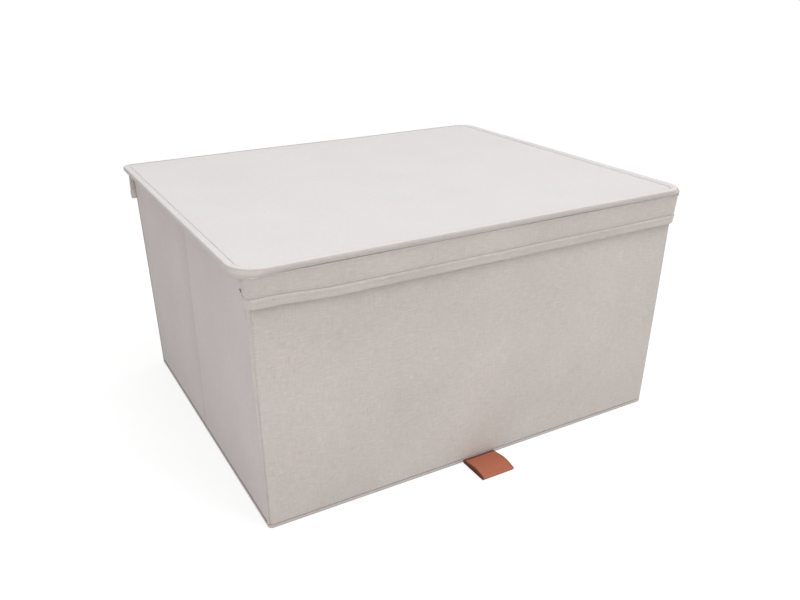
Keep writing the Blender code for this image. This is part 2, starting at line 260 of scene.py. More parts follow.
LINEN = (0.574, 0.529, 0.493)
END_LINEN_PAINTED_SHADE = (0.570, 0.515, 0.503)
# Painted shade: a darker copy of the linen for the roll's face and the base's edge
DARK_LINEN_PAINTED_SHADE = (0.525, 0.483, 0.462)
LINEN_FLAP = (0.574, 0.528, 0.494)
# Painted shadow: a much darker copy of the linen for the groove above the flap's hem
LINEN_PAINTED_HEM_SHADOW = (0.400, 0.365, 0.345)
# Painted light: a lighter copy of the linen for the lid's top and the roll's crown, which face the
# light from above
LINEN_PAINTED_LIGHT = (0.672, 0.648, 0.647)

linen = cloth_material("linen_cloth", LINEN, 0.150)
# The end walls' copy of the linen is tinted a little darker and pinker than LINEN as painted shade,
# and carries the painted shade behind the crease
end_linen_painted_shade = cloth_material("linen_end_cloth", END_LINEN_PAINTED_SHADE, 0.100, shift=(0.53, 0.29), crease=True)
roll_linen_painted_light = cloth_material("linen_roll_cloth", LINEN_PAINTED_LIGHT, 0.060, 0.40, shift=(0.11, 0.67))
dark_linen_painted_shade = cloth_material("linen_face_cloth", DARK_LINEN_PAINTED_SHADE, 0.100, shift=(0.23, 0.81))
linen_flap = cloth_material("linen_flap_cloth", LINEN_FLAP, 0.150, shift=(0.61, 0.47))
linen_painted_hem_shadow = cloth_material("linen_seam_cloth", LINEN_PAINTED_HEM_SHADOW, 0.100, shift=(0.23, 0.81))
lid_linen_painted_light = cloth_material("linen_lid_cloth", LINEN_PAINTED_LIGHT, 0.060, 0.35, shift=(0.31, 0.17))
lining = cloth_material(
    "lining_cloth", (0.640, 0.602, 0.570), 0.030, 0.30, shift=(0.7, 0.4), pitch=LINING_PITCH
)
leather = leather_material("tab_leather", (0.412, 0.129, 0.067), 0.50)
leather_cut_edge_and_painted_shade = leather_material("tab_leather_edge", (0.155, 0.040, 0.022), 0.70)
board = fibre_material("grey_board", (0.300, 0.270, 0.235), 240.0, 0.25)
cord_fibre = fibre_material("filler_cord_fibre", (0.780, 0.755, 0.710), 900.0, 0.12)
thread = fibre_material("sewing_thread", (0.560, 0.515, 0.480), 2500.0, 0.15)
tack_thread = fibre_material("tack_thread", (0.230, 0.200, 0.180), 2500.0, 0.2)


# Shape helpers

CLOSEST = 0.00012


def unit(value):
    return np.clip(value, 0.0, 1.0)


def bell(distance, width):
    return np.exp(-((distance / width) ** 2))


def ripple(u, v, seed, wavelength):
    """Smooth undulation between -1 and 1 over cloth coordinates."""
    total = 0.0
    for k in range(5):
        angle = 2.399963 * (k + seed)
        length = wavelength * (0.6 + 0.27 * k)
        phase = 1.7 * k * k + 2.3 * seed
        run = u * math.cos(angle) + v * math.sin(angle)
        total = total + np.sin(2 * math.pi * run / length + phase)
    return total / 5


def add_object(name, data):
    made = bpy.data.objects.new(name, data)
    bpy.context.scene.collection.objects.link(made)
    return made


def make_piece(name, points, faces, cloth, materials, thickness=0.0):
    """A mesh object; cloth gives each face corner its place on the flat cloth, in metres."""
    mesh = bpy.data.meshes.new(name)
    mesh.from_pydata([tuple(p) for p in points], [], faces)
    if cloth is not None:
        layer = mesh.uv_layers.new(name=CLOTH_MAP)
        layer.data.foreach_set("uv", np.array(cloth, np.float32).ravel())
    for material in materials:
        mesh.materials.append(material)
    mesh.update()
    mesh.shade_smooth()
    piece = add_object(name, mesh)
    if thickness:
        solidify = piece.modifiers.new("thickness", "SOLIDIFY")
        solidify.thickness = thickness
        solidify.offset = -1.0
    return piece


def stand_in(piece, body, slot, *nodes):
    """Says which body a piece rides on and which solids it stands for; its slot is not used."""
    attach(piece, body)
    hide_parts(*nodes)


def grid_faces(rows, columns, wrap):
    """Quads of a grid whose columns run on; wrap joins the last column to the first."""
    faces = []
    for low in range(0, (rows - 1) * columns, columns):
        high = low + columns
        for c in range(columns if wrap else columns - 1):
            d = (c + 1) % columns
            faces.append((low + c, low + d, high + d, high + c))
    return faces


def capped_faces(rows, columns):
    """Quads between closed rings, and triangles from the last ring to the next point."""
    last, centre = (rows - 1) * columns, rows * columns
    caps = [(last + c, last + (c + 1) % columns, centre) for c in range(columns)]
    return grid_faces(rows, columns, True) + caps


def turned_over(faces):
    return [tuple(reversed(face)) for face in faces]


def bends(*radii):
    """Distances from an edge at which rounded edges of these radii need points."""
    shares = [1 - math.tan(math.radians(angle)) for angle in (0.0, 15.0, 30.0)]
    return sorted({0.0, *(radius * share for radius in radii for share in shares)})


def spaced(low, high, near_ends, step, extra=()):
    """Places from low to high: the given distances from both ends, then even steps."""
    places = [low + d for d in near_ends] + [high - d for d in near_ends] + list(extra)
    inner_low, inner_high = low + max(near_ends), high - max(near_ends)
    count = max(1, round((inner_high - inner_low) / step))
    for k in range(1, count):
        place = inner_low + (inner_high - inner_low) * k / count
        if all(abs(place - other) > 0.35 * step for other in extra):
            places.append(place)
    kept = []
    for place in sorted(places):
        if not kept or place - kept[-1] > CLOSEST:
            kept.append(place)
    kept[-1] = high
    return kept


def line_length(points):
    """Distances along a line of (across, up) points."""
    runs = [0.0]
    for a, b in zip(points[:-1], points[1:]):
        runs.append(runs[-1] + math.hypot(b[0] - a[0], b[1] - a[1]))
    return runs


def arc(centre, radius, start, end, steps):
    angles = [math.radians(start + (end - start) * k / steps) for k in range(steps + 1)]
    return [(centre[0] + radius * math.cos(a), centre[1] + radius * math.sin(a)) for a in angles]


# Walls

# Each end wall falls in along its crease and leans out at the rim: reach, and power of the height
SAG = {"left": (0.0050, 1.5), "right": (0.0060, 0.8)}
LEAN = {"left": (0.0015, 1.3), "right": (0.0060, 0.8)}
CREASE_DIP = 0.0024
CREASE_BEHIND, CREASE_BEFORE = 0.016, 0.0016
CREASE_GAP = 0.0050
CREASE_SIDE = (0.0003, 0.0006, 0.0009, 0.0012, 0.0018, 0.003, 0.0055)
CREASE_LINES = sorted([sign * d for d in CREASE_SIDE for sign in (-1, 1)] + [0.0])
WALL_TURN = 0.002
FREE_FROM_EDGE = 0.02

# A long wall's groove beside its corner: place at the foot, how far it moves in, depth and width
SEAM_INSET, SEAM_DRIFT, SEAM_DEPTH, SEAM_WIDTH = 0.0008, 0.0040, 0.0008, 0.0006

# Depths of the lining's inner face and the stiffener's outer face, and the margins round them
LINING_LEVEL, LINING_PUFF, LINING_MARGIN = 0.00365, 0.00035, 0.0018
STIFFENER_LEVEL, STIFFENER_MARGIN = 0.0011, 0.0011

# Panels: width, turn, place and the radii of their front corners and of their edges
LONG_RADII, END_RADII = (0.0039, 0.0009), (0.0008, 0.0009)
END_X = HALF_LENGTH - END_INSET
WALLS = {
    "front_wall": (2 * HALF_LENGTH, 0.0, (0.0, -HALF_DEPTH, WALL_BOTTOM), LONG_RADII),
    "back_wall": (2 * HALF_LENGTH, math.pi, (0.0, HALF_DEPTH, WALL_BOTTOM), LONG_RADII),
    "left_end": (2 * END_SPAN, -math.pi / 2, (-END_X, 0.0, WALL_BOTTOM), END_RADII),
    "right_end": (2 * END_SPAN, math.pi / 2, (END_X, 0.0, WALL_BOTTOM), END_RADII),
}
WALL_BODY = {"front_wall": "front", "back_wall": "base"}

STITCH = 0.0026
STITCH_PITCH = 0.0034
STITCH_RADIUS = 0.00026
SIDES = 6


def soften(points, width, corner, edge):
    """A box's points moved onto a panel with rounded ends and softer front corners."""
    x, y, z = points.T
    half = width / 2
    depth = np.minimum(half - np.abs(x), np.minimum(y, WALL - y))
    inner_depth, inner_z = np.maximum(depth, edge), np.clip(z, edge, WALL_HEIGHT - edge)
    out_depth, out_z = depth - inner_depth, z - inner_z
    reach = np.maximum(np.hypot(out_depth, out_z), 1e-9)
    on_edge = reach > 1e-7
    depth = np.where(on_edge, inner_depth + out_depth / reach * edge, depth)
    z = np.where(on_edge, inner_z + out_z / reach * edge, z)
    x, y = np.clip(x, depth - half, half - depth), np.clip(y, depth, WALL - depth)
    a = unit((np.abs(x) - (half - corner)) / corner)
    b = unit((corner - y) / corner)
    pull = np.maximum(a, b) / np.maximum(np.hypot(a, b), 1e-9)
    rounds = (a > 0) & (b > 0)
    x = np.where(rounds, np.sign(x) * (half - corner + a * pull * corner), x)
    y = np.where(rounds, corner - b * pull * corner, y)
    return np.stack([x, y, z], -1)


def wall_skin(width, corner, edge, extra, relief):
    """A panel's cover in its own place: outer face at y=0, inner face open below the hem."""
    near = bends(corner, edge)
    xs = spaced(-width / 2, width / 2, near, 0.009, extra)
    if not extra:
        seam = [side * (width / 2 - 0.0012 - 0.0005 * k) for k in range(9) for side in (-1, 1)]
        xs = sorted({*xs, *seam})
        xs = [x for x, following in zip(xs, xs[1:] + [math.inf]) if following - x > CLOSEST]
    ys = near + [WALL - d for d in bends(edge)[::-1] if WALL - d > near[-1] + 0.0003]
    zs = spaced(0.0, WALL_HEIGHT, bends(edge), 0.009, (WALL_HEIGHT - HEM,))
    last_x, last_y, last_z = len(xs) - 1, len(ys) - 1, len(zs) - 1
    turned_in = max(edge, WALL_TURN) * 1.01
    hem_foot = WALL_HEIGHT - HEM - 1e-6
    points, index, faces, cloth = [], {}, [], []

    def corner_at(i, j, k):
        if (i, j, k) not in index:
            index[(i, j, k)] = len(points)
            points.append((xs[i], ys[j], zs[k]))
        return index[(i, j, k)]

    flats = {
        "outside": lambda x, y, z: (x, z),
        "inside": lambda x, y, z: (x, 2 * WALL_HEIGHT + WALL - z),
        "low end": lambda x, y, z: (-width / 2 - y, z),
        "high end": lambda x, y, z: (width / 2 + y, z),
        "foot": lambda x, y, z: (x, -y),
        "rim": lambda x, y, z: (x, WALL_HEIGHT + y),
    }

    def add(side, *cells):
        faces.append([corner_at(*cell) for cell in cells])
        cloth.extend(flats[side](*points[i]) for i in faces[-1])

    for i in range(last_x):
        for k in range(last_z):
            add("outside", (i, 0, k), (i + 1, 0, k), (i + 1, 0, k + 1), (i, 0, k + 1))
            side = min(xs[i + 1] + width / 2, width / 2 - xs[i])
            if zs[k] > hem_foot or side < turned_in or zs[k + 1] < turned_in:
                j = last_y
                add("inside", (i + 1, j, k), (i, j, k), (i, j, k + 1), (i + 1, j, k + 1))
    for j in range(last_y):
        for k in range(last_z):
            add("low end", (0, j + 1, k), (0, j, k), (0, j, k + 1), (0, j + 1, k + 1))
            i = last_x
            add("high end", (i, j, k), (i, j + 1, k), (i, j + 1, k + 1), (i, j, k + 1))
        for i in range(last_x):
            add("foot", (i, j + 1, 0), (i + 1, j + 1, 0), (i + 1, j, 0), (i, j, 0))
            k = last_z
            add("rim", (i, j, k), (i + 1, j, k), (i + 1, j + 1, k), (i, j + 1, k))
    points = np.array(points)
    placed = soften(points, width, corner, edge)
    placed[:, 1] -= relief(points) * (1 - points[:, 1] / WALL)
    return placed, faces, cloth


def panel_sheet(low, high, level, puff, end, outward=False):
    """A lining or board in a wall's own place; a lining is puffed a little in the middle."""
    crosses = end and low[0] < 0 < high[0]
    near_ends = (0.0, 0.0008, 0.002)
    xs = spaced(low[0], high[0], near_ends, 0.012, CREASE_LINES if crosses else ())
    zs = spaced(low[1], high[1], near_ends, 0.012)
    x, z = np.meshgrid(xs, zs)
    edge = np.minimum.reduce([x - low[0], high[0] - x, z - low[1], high[1] - z])
    swell = puff * (1 - np.exp(-edge / 0.0015))
    depth = level + swell + (0.00012 * ripple(x, z, 5, 0.11) if puff else 0.0)
    if crosses:
        depth = depth - 0.0004 * bell(x, 0.0011)
    points = np.stack([x, depth, z], -1).reshape(-1, 3)
    faces = grid_faces(len(zs), len(xs), False)
    if not outward:
        faces = turned_over(faces)
    cloth = [(points[i][0], points[i][2]) for f in faces for i in f]
    return points, faces, cloth


def lean_out(z, side):
    """How far an end of the box leans outwards at a height above the base."""
    reach, power = LEAN[side]
    return reach * unit(z / WALL_HEIGHT) ** power


def long_sway(side, points):
    """A long wall's points in its own place, its ends leaning with the end walls."""
    low_side, high_side = ("left", "right") if side == "front" else ("right", "left")
    points = np.array(points, float)
    x, z = points[:, 0], points[:, 2]
    share = unit(0.5 + x / (2 * HALF_LENGTH))
    points[:, 0] += share * lean_out(z, high_side) - (1 - share) * lean_out(z, low_side)
    return points


def end_sway(side, points):
    """An end wall's points in its own place, leaning out but fallen in at the crease."""
    points = np.array(points, float)
    x, z = points[:, 0] * (-1.0 if side == "right" else 1.0), points[:, 2]
    rise = unit(z / WALL_HEIGHT)
    reach, power = SAG[side]
    fall = reach * rise**power * unit(1 - np.abs(x) / END_SPAN)
    step = np.where(x < 0, bell(x, CREASE_BEHIND), unit(1 - x / CREASE_BEFORE))
    dip = CREASE_DIP * rise**1.1 * unit((1 - rise) / 0.05)
    points[:, 1] += fall + dip * step - lean_out(z, side)
    return points


def edge_free(x, width):
    """How free a panel's cloth is of its glued side edges, from 0 to 1."""
    return unit((width / 2 - np.abs(x)) / FREE_FROM_EDGE) ** 0.5


def long_relief(seed, width, points):
    """A long wall's relief: slow waves, most at mid height, and a groove beside each corner."""
    x, z = points[:, 0], points[:, 2]
    rise = unit(z / WALL_HEIGHT)
    free = np.sin(math.pi * rise) ** 0.8 * (1 - rise**3) * edge_free(x, width)
    seam = width / 2 - SEAM_INSET - SEAM_DRIFT * rise**2
    groove = SEAM_DEPTH * bell(np.abs(x) - seam, SEAM_WIDTH) * unit(6 * (1 - rise))
    return free * (0.0004 + 0.0004 * ripple(x, z, seed, 0.16)) - groove


def end_relief(seed, width, sign, points):
    """An end wall's relief: a groove at the crease and slow waves of the cloth."""
    x, z = points[:, 0] * sign, points[:, 2]
    rise, below = unit(z / WALL_HEIGHT), WALL_HEIGHT - z
    free = unit(rise / 0.25) ** 0.7 * unit((1 - rise) / 0.10) ** 0.7 * edge_free(x, width)
    wave = 0.0004 * ripple(x, z, seed, 0.17) + 0.0006 * bell(x + 0.075, 0.04)
    top = bell(below, 0.022)
    groove = (0.0004 + 0.0006 * top) * bell(x + 0.0008, 0.0012 + 0.0012 * top)
    return free * wave - groove * unit((below - 0.006) / 0.006)


def turned(points, turn, place):
    """Local points turned about the vertical and moved to their place."""
    spin = np.array(Matrix.Rotation(turn, 3, "Z"))
    return np.asarray(points) @ spin.T + np.array(place)


def stitch_row(name, starts, ends, body, turn=0.0, place=(0.0, 0.0, 0.0), sewn_with=thread):
    """Stitches that lie on the cloth: short spindles of thread between pairs of points."""
    points, faces = [], []
    for start, end in zip(np.asarray(starts), np.asarray(ends)):
        along = (end - start) / np.linalg.norm(end - start)
        across = np.cross(along, (0.0, 0.0, 1.0) if abs(along[2]) < 0.7 else (1.0, 0.0, 0.0))
        across = across / np.linalg.norm(across)
        third = np.cross(along, across)
        first = len(points)
        points.append(start)
        for share in (0.22, 0.78):
            for k in range(SIDES):
                angle = 2 * math.pi * k / SIDES
                reach = STITCH_RADIUS * (math.cos(angle) * across + math.sin(angle) * third)
                points.append(start + (end - start) * share + reach)
        tip = len(points)
        points.append(end)
        for k in range(SIDES):
            a, b = first + 1 + k, first + 1 + (k + 1) % SIDES
            faces += [(first, b, a), (a, b, b + SIDES, a + SIDES), (a + SIDES, b + SIDES, tip)]
    piece = make_piece(name, turned(points, turn, place), faces, None, [sewn_with])
    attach(piece, body)


def dashes(low, high):
    """Where the stitches of a row start and end, evenly between two places along it."""
    count = int((high - low) / STITCH_PITCH)
    starts = (low + high - count * STITCH_PITCH) / 2 + STITCH_PITCH * np.arange(count)
    return starts, starts + STITCH


def dress_wall(prefix, seed):
    """A long wall, or an end wall with stiffeners in its two panels: cover, lining and stitches."""
    width, turn, place, (corner, edge) = WALLS[prefix]
    side, kind = prefix.split("_")
    end = kind == "end"
    sign = -1.0 if prefix == "right_end" else 1.0
    sway_of = partial(end_sway if end else long_sway, side)
    relief = partial(long_relief, seed, width)
    carriers, halves = [prefix], ()
    if end:
        relief = partial(end_relief, seed, width, sign)
        carriers = [f"{side}_rear", f"{side}_front"]
        halves = tuple(zip((-sign, sign), carriers))

    def put(name, sheet, material, thickness, shift=0.0, flip=1.0):
        points, faces, cloth = sheet
        cloth = [(flip * u + shift, v) for u, v in cloth]
        points = turned(sway_of(points), turn, place)
        return make_piece(name, points, faces, cloth, [material], thickness)

    skin = wall_skin(width, corner, edge, CREASE_LINES if end else (), relief)
    cloth, shift, flip = (end_linen_painted_shade, 0.0, sign) if end else (linen, 0.9 * seed, 1.0)
    cover = put(f"{prefix}_cloth", skin, cloth, COVER, shift, flip)
    low = (-width / 2 + LINING_MARGIN, LINING_MARGIN)
    high = (width / 2 - LINING_MARGIN, WALL_HEIGHT - HEM - 0.0003)
    sheet = panel_sheet(low, high, LINING_LEVEL, LINING_PUFF, end)
    inner = put(f"{prefix}_inner", sheet, lining, LINING, 0.7 * seed)

    for piece, part, slot in ((cover, "cover", "linen"), (inner, "lining", "lining")):
        if end:
            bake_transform(piece)
        else:
            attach(piece, WALL_BODY[prefix])
        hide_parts(*[f"{carrier}_{part}" for carrier in carriers])
    for half, carrier in halves:
        low_x, high_x = sorted((half * CREASE_GAP, half * (width / 2 - 0.0016)))
        low, top = (low_x, STIFFENER_MARGIN), (high_x, WALL_HEIGHT - STIFFENER_MARGIN)
        sheet = panel_sheet(low, top, STIFFENER_LEVEL, 0.0, end, outward=True)
        stiffener = put(f"{carrier}_stiffener", sheet, board, END_BOARD)
        stand_in(stiffener, carrier, "board", f"{carrier}_board")

    spans = [(0.008 - width / 2, width / 2 - 0.008, WALL_BODY.get(prefix))]
    if end:
        reach = (0.004, width / 2 - 0.006)
        spans = [(*sorted(half * x for x in reach), carrier) for half, carrier in halves]
    level, sewn = WALL + 0.00005, WALL_HEIGHT - HEM + 0.0025
    for from_x, to_x, body in spans:
        starts, ends = ([(x, level, sewn) for x in row] for row in dashes(from_x, to_x))
        stitch_row(f"{prefix}_stitches_{body}", sway_of(starts), sway_of(ends), body, turn, place)


# Courses round the box


def course_of(corners, radii, corner_steps, step, runs=()):
    """Points and outward directions along the outline, which turns a quarter at each corner.

    An open course also runs on before its first corner and, mirrored, after its last."""
    line, outs = [], []

    def add(x, y, radius, angle):
        out = (math.cos(angle), math.sin(angle))
        line.append((x + radius * out[0], y + radius * out[1]))
        outs.append(out)

    def centre_of(corner, radius):
        return (c - math.copysign(radius, c) for c in corner[:2])

    for index, (corner, radius) in enumerate(zip(corners, radii)):
        x, y = centre_of(corner, radius)
        start, finish = corner[2], corner[2] + math.pi / 2
        if index == 0:
            for d in runs:
                add(x, y + d, radius, start)
        for k in range(corner_steps + 1):
            add(x, y, radius, start + math.pi / 2 * k / corner_steps)
        if index + 1 < len(corners):
            following, far = corners[index + 1], radii[index + 1]
            next_x, next_y = centre_of(following, far)
            count = round(math.dist(following[:2], corner[:2]) / step)
            for k in range(1, count):
                share = k / count
                between = radius + (far - radius) * share
                add(x + (next_x - x) * share, y + (next_y - y) * share, between, finish)
        else:
            for d in runs[::-1]:
                add(x, y + d, radius, finish)
    return np.array(line), np.array(outs)


def ring(radii, corner_steps, step):
    """A closed course round the box, anticlockwise from the right end of the front."""
    signs = ((1, -1), (1, 1), (-1, 1), (-1, -1), (1, -1))
    corners = [
        (x * HALF_LENGTH, y * HALF_DEPTH, (c - 1) * math.pi / 2) for c, (x, y) in enumerate(signs)
    ]
    line, outs = course_of(corners, (*radii, radii[0]), corner_steps, step)
    drop = corner_steps + 1
    return line[:-drop], outs[:-drop]


def front_course(radius, corner_steps, step, reach):
    """An open course: along the front wall, with both ends round the corners by a short reach."""
    corners = [(-HALF_LENGTH, -HALF_DEPTH, math.pi), (HALF_LENGTH, -HALF_DEPTH, 1.5 * math.pi)]
    straight = reach - radius
    runs = [straight + 0.0001 * k for k in (3, 2, 1, 0)] + [straight / 2]
    return course_of(corners, (radius, radius), corner_steps, step, runs)


def ring_place(course, overhang, height):
    """Points of a course at an overhang outside the walls and a height, fixed or varying."""
    line, outs = course
    flat = line + outs * np.broadcast_to(overhang, len(outs))[:, None]
    return np.column_stack([flat, np.broadcast_to(height, len(outs))])


def lid_place(course, overhang, height):
    """Points round the lid, whose corners are rounder above than at its lower edge."""
    height = np.broadcast_to(height, len(course[1]))
    share = unit((height - ROUNDER_FROM) / ROUNDER_OVER)[:, None]
    upper, lower = (ring_place(part, overhang, height) for part in (UPPER_LID, LOWER_LID))
    return lower + share * (upper - lower)


def run_length(points, wrap=True):
    steps = np.linalg.norm(np.roll(points, -1, axis=0) - points, axis=1)
    return np.concatenate([[0.0], np.cumsum(steps)])[: None if wrap else -1]


def flat_run(course, wrap=True):
    """Distances along a course, as a cloth's flat size and its weave have them."""
    return run_length(ring_place(course, 0.008, 0.2), wrap)


def swept(
    name, course, profile, materials, thickness, wave, wrap=True, closed=False, place=ring_place
):
    """Cloth along a course: profile is a list of (overhang, height), going outwards and down."""
    profile = list(profile) + ([profile[0]] if closed else [])
    rows = []
    for row, (overhang, height) in enumerate(profile):
        out, up = wave(row)
        rows.append(place(course, overhang + out, height + up))
    columns = len(course[0])
    along, across = flat_run(course, wrap), line_length(profile)
    cloth = []
    faces = grid_faces(len(rows), columns, wrap)
    for face in faces:
        for position, index in reversed(list(enumerate(face))):
            row, column = divmod(index, columns)
            turn = columns if wrap and column == 0 and position in (1, 2) else column
            cloth.append((along[turn], -across[row]))
    faces = turned_over(faces)
    points = np.concatenate(rows)
    if closed:
        last = len(points) - columns
        points, faces = points[:last], [tuple(i % last for i in f) for f in faces]
    return make_piece(name, points, faces, cloth, materials, thickness)


def flat_cloth(
    name, course, overhang, level, material, thickness, drop=0.0, wave=lambda x, y, inset: 0.0,
    flip=False, place=ring_place,
):
    """A flat sheet with the box's rounded plan, whose edge turns down by a small drop."""
    outline = place(course, overhang, level)
    near = [0.0, 0.0004, 0.0009, 0.0016, 0.0026, 0.004, 0.007, 0.012, 0.02]
    insets = near + list(np.linspace(0.03, 0.16, 12))
    points = []
    for inset in insets:
        ringed = outline.copy()
        ringed[:, :2] *= 1 - inset / (HALF_DEPTH + overhang)
        fall = drop * (0.2 + 0.8 * np.abs(course[1][:, 0])) * math.exp(-((inset / 0.0011) ** 1.4))
        ringed[:, 2] = level - fall + wave(ringed[:, 0], ringed[:, 1], inset)
        points.extend(ringed)
    points.append((0.0, 0.0, level + wave(0.0, 0.0, 0.2)))
    faces = capped_faces(len(insets), len(outline))
    if flip:
        faces = turned_over(faces)
    cloth = [(points[i][0], points[i][1]) for f in faces for i in f]
    return make_piece(name, points, faces, cloth, [material], thickness)


def flat_sheet(piece, body, slot, node_name):
    """A flat cloth of the lid or base: its body and what it stands for."""
    stand_in(piece, body, slot, node_name)


# Lid

# The lid's outline, whose corners grow rounder from a height up, over a further rise
ROUNDER_FROM, ROUNDER_OVER = 0.2285, 0.0023
UPPER_LID = ring((0.010, 0.008, 0.002, 0.015), 14, 0.009)
LOWER_LID = ring((0.006, 0.004, 0.001, 0.010), 14, 0.009)
TOP_OVERHANG = 0.0020
UNDER_OVERHANG = 0.0037

# The roll's section as (overhang, height): up over the cord, down its face and back under it
ROLL_OVER = [(0.0021, 0.2310), (0.0024, 0.2314), (0.0030, 0.2318), (0.0038, 0.2322)]
ROLL_OVER += [(0.0050, 0.2325), (0.0062, 0.23268)] + arc((0.0075, 0.23055), 0.0021, 86.0, 6.0, 6)
ROLL_UNDER = [(0.00962, 0.2298), (0.0094, 0.2288), (0.0090, 0.2279), (0.0083, 0.2273)]
ROLL_UNDER += [(0.0074, 0.2271), (0.0062, 0.2276)]
ROLL = ROLL_OVER + ROLL_UNDER
FACE_ROW = len(ROLL_OVER) - 5
CORD_CENTRE, CORD_RADIUS = (0.0074, 0.2299), 0.0013
CORD_STRANDS, CORD_LAY = 16, 0.018

# The flap: its outer line, its bead at the roll, its hem and how it meets the end walls
FLAP_FOOT, FLAP_HEAD = Vector((0.0046, 0.1973)), Vector((0.0082, 0.2243))
FLAP_LENGTH = (FLAP_HEAD - FLAP_FOOT).length
FLAP_UP = (FLAP_HEAD - FLAP_FOOT).normalized()
FLAP_OUT = Vector((FLAP_UP.y, -FLAP_UP.x))
BEAD = [(0.0010, 0.2266), (0.0045, 0.2266), (0.0060, 0.2266), (0.0070, 0.2268), (0.0077, 0.2271)]
BEAD += [(0.0083, 0.2271), (0.0088, 0.2268), (0.0089, 0.2264), (0.0086, 0.2260)]
BEAD += [(0.0081, 0.2257), (0.0081, 0.2252)]
FREE_ROW = 8
HEM_DEPTH = 0.010
HEM_LINE = 0.0088
HEM_STEP = 0.0005
HEM_SECTION = [(HEM_STEP + 0.0005, HEM_LINE + 0.0006), (HEM_STEP + 0.0006, HEM_LINE + 0.0002)]
HEM_SECTION += [(0.0, HEM_LINE), (-0.0003, HEM_LINE - 0.0008), (-0.0002, HEM_LINE - 0.0018)]
HEM_SECTION += [(0.0, HEM_LINE - 0.0030), (0.0, 0.5 * HEM_DEPTH)]
FACE_SHARES = [0.06, 0.25, 0.5, 0.75, 0.9]
FALLEN = [0.0] * len(BEAD) + FACE_SHARES
HEM_ROW = len(FALLEN)
SEWN_ROW = HEM_ROW + 5
FLAP_LAYERS = 0.0037
FLAP_REACH = 0.0030
FLAP_TURN = np.array((0.0, 0.25, 0.60, 1.0))
FLAP_BESIDE = {"front": 0.0004, "back": 0.0045}
FLAP_END = 13
END_REACH = 0.018
END_LIFT = 0.0010
CORNER_LIFT = 0.0028
CORNER_LIFT_FROM, CORNER_LIFT_OVER = 0.085, 0.050
CORNER_TUCK = 0.0030
TACK_SHARE = 0.57
TACK_STRAND = 0.0004


def flap_point(inward, along):
    """Overhang and height of a point so far up the flap and inside its outer line."""
    point = FLAP_FOOT + FLAP_UP * along - FLAP_OUT * inward
    return (point.x, point.y)


def declare(piece, slot, node_name):
    """A swept cloth of the lid: its body and what it stands for."""
    stand_in(piece, "lid", slot, node_name)


def dress_lid():
    """The lid: its top, lining and board, and the cloth rolled round the filler cord."""
    fine = LOWER_LID
    along = run_length(lid_place(fine, 0.012, 0.2))[:-1]
    out_x, out_y = fine[1].T

    def top_wave(x, y, inset):
        return 0.00018 * ripple(x, y, 3, 0.21) * min(1.0, inset / 0.02)

    upper = (TOP_OVERHANG, 0.2316, lid_linen_painted_light, THIN_COVER, 0.0006, top_wave)
    top = flat_cloth("lid_top_cloth", fine, *upper, place=lid_place)
    lower = (UNDER_OVERHANG, 0.2271, lining, LINING)
    under = flat_cloth("lid_under_cloth", fine, *lower, flip=True, place=lid_place)
    stiff = flat_cloth("lid_stiffener", UPPER_LID, 0.0012, 0.2306, board, LID_BOARD)
    stand_in(stiff, "lid", "board", "lid_board")
    flat_sheet(top, "lid", "linen", "lid_cover")
    flat_sheet(under, "lid", "lining", "lid_lining")

    outermost = lid_place(fine, 0.0096, 0.2273)[:, :2]
    corner = np.array((-HALF_LENGTH - 0.0096, -HALF_DEPTH - 0.0096))
    at_corner = bell(np.linalg.norm(outermost - corner, axis=1) - 0.004, 0.022)

    def roll_wave(row):
        swell = 0.00010 * ripple(along, 0.01 * row, 8, 0.07)
        dip = 0.0003 * ripple(along, 0.0, 12, 0.30)
        level = (0.0005, 0.0004, 0.0002, 0.0001)[row] if row < 4 else 0.0
        low_back = 0.0011 * unit(out_y) * min(1.0, row / 5) * (row <= FACE_ROW)
        level = level * (1 - np.abs(out_x)) - low_back
        below = min(1.0, max(0.0, (row - FACE_ROW) / 5))
        level = level - 0.0024 * below * at_corner
        return swell, 0.4 * swell + dip * min(1.0, row / 6) + level

    roll = ("lid_roll_cloth", fine, ROLL, [roll_linen_painted_light, dark_linen_painted_shade], THIN_COVER, roll_wave)
    rolled = swept(*roll, place=lid_place)
    # The roll's face rows take the darker copy of the linen as painted shade
    for polygon in rolled.data.polygons:
        polygon.material_index = int(polygon.index // len(fine[0]) >= FACE_ROW)

    cord_rows = arc(CORD_CENTRE, CORD_RADIUS, 0.0, -360.0, CORD_STRANDS)[:-1]

    def twist(row):
        angle = -2 * math.pi * (row % CORD_STRANDS) / CORD_STRANDS
        bulge = 0.00014 * np.cos(3 * (2 * math.pi * along / CORD_LAY - angle))
        return bulge * math.cos(angle), bulge * math.sin(angle)

    filler = ("lid_filler_cord", fine, cord_rows, [cord_fibre], 0.0, twist)
    filler = swept(*filler, closed=True, place=lid_place)
    declare(rolled, "linen", "lid_welt")
    stand_in(filler, "lid", "cord", "lid_welt_cord")
    for side, turn, seed in (("front", 0.0, 0), ("back", math.pi, 31)):
        dress_flap(side, turn, seed)


def flap_profile():
    """The flap's section: bead, face down to the hem, fold at its foot and turned-up end."""
    lean = math.degrees(math.atan2(FLAP_UP.x, FLAP_UP.y))
    face_drop = HEM_LINE + 0.001 - FLAP_LENGTH
    fold = FLAP_LAYERS / 2
    face = [flap_point(HEM_STEP, FLAP_LENGTH + face_drop * share) for share in FACE_SHARES]
    hem = [flap_point(*spot) for spot in HEM_SECTION]
    turn = arc(flap_point(fold, fold), fold, -lean, -lean - 180.0, 7)
    inner = [flap_point(FLAP_LAYERS, share * HEM_DEPTH) for share in (0.6, 1.0)]
    return BEAD + face + hem + turn + inner


